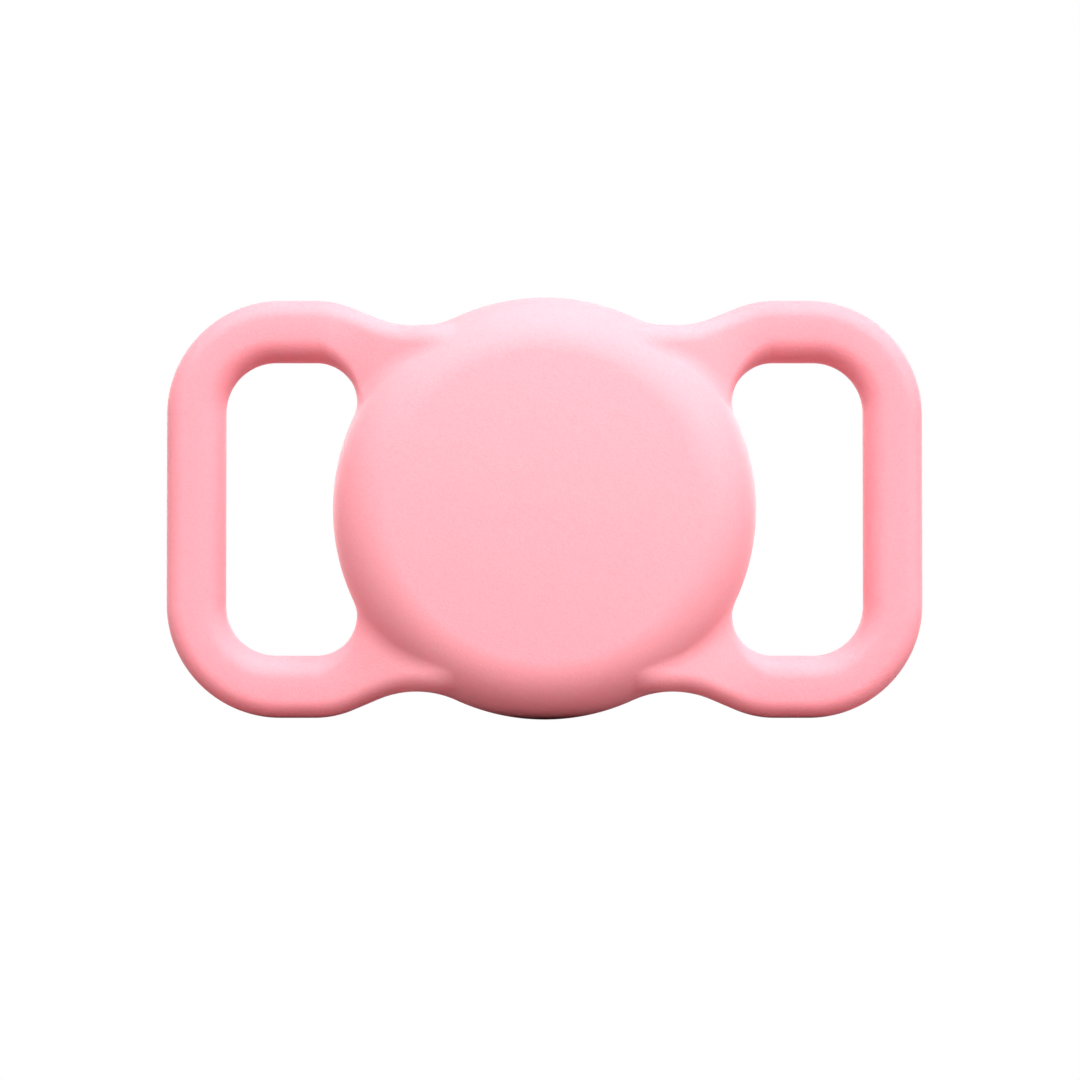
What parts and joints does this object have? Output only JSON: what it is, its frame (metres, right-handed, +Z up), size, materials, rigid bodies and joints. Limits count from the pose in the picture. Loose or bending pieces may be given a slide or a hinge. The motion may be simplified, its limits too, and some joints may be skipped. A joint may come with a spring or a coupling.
{
  "type": "tracker tag holder",
  "caption": "Soft slide-on holder that keeps a coin-shaped tracker tag in a round pod between two strap loops, with the tag and its twist-off battery cover inside.",
  "frame": {"origin": "middle of the underside, below the pod, with the holder standing upright", "axes": "+X along the strap, +Y towards the open back, +Z up across the strap"},
  "size_m": [0.065, 0.012, 0.0362],
  "materials": {
    "silicone_pink": "matte soft silicone with a fine grain",
    "white_plastic": "smooth glossy moulding",
    "black_plastic": "matte moulding",
    "seal_rubber": "soft matte",
    "cover_steel": "polished stainless steel",
    "cell_steel": "plain nickel-plated steel",
    "cathode": "matt pressed powder",
    "anode": "soft grey metal foil",
    "contact_gold": "gold-plated spring metal",
    "board_green": "solder mask",
    "chip_black": "moulded resin",
    "shield_tin": "tinned sheet",
    "foam_grey": "open foam",
    "speaker_steel": "plated steel",
    "magnet": "nickel-plated magnet",
    "copper": "copper"
  },
  "bodies": {
    "holder": {"holder_sleeve": "silicone_pink", "mouth_lip": "silicone_pink"},
    "tag": {"tag_shell": "white_plastic", "tag_carrier": "white_plastic", "cover_seal": "seal_rubber", "cell_can": "cell_steel", "cell_cathode": "cathode", "cell_anode": "anode", "cell_cap": "cell_steel", "cell_gasket": "black_plastic", "negative_contact": "contact_gold", "positive_contacts": "contact_gold", "circuit_board": "board_green", "radio_shield": "shield_tin", "board_chips": "chip_black", "clock_crystal": "shield_tin", "board_foam": "foam_grey", "speaker_yoke": "speaker_steel", "speaker_magnet": "magnet", "speaker_pole_plate": "speaker_steel", "voice_coil": "copper", "antenna_traces": "copper"},
    "cover": {"battery_cover": "cover_steel", "cover_bayonet_ring": "black_plastic"}
  },
  "joints": [
    {"name": "tag_slide", "type": "slide", "parent": "holder", "child": "tag", "axis": [0, 1, 0], "range_m": [0, 0.012], "deforming": ["mouth_lip"]},
    {"name": "cover_twist", "type": "hinge", "parent": "tag", "child": "cover", "pos_m": [0, 0.004, 0.0181], "axis": [0, 1, 0], "range_deg": [0, 26]}
  ]
}
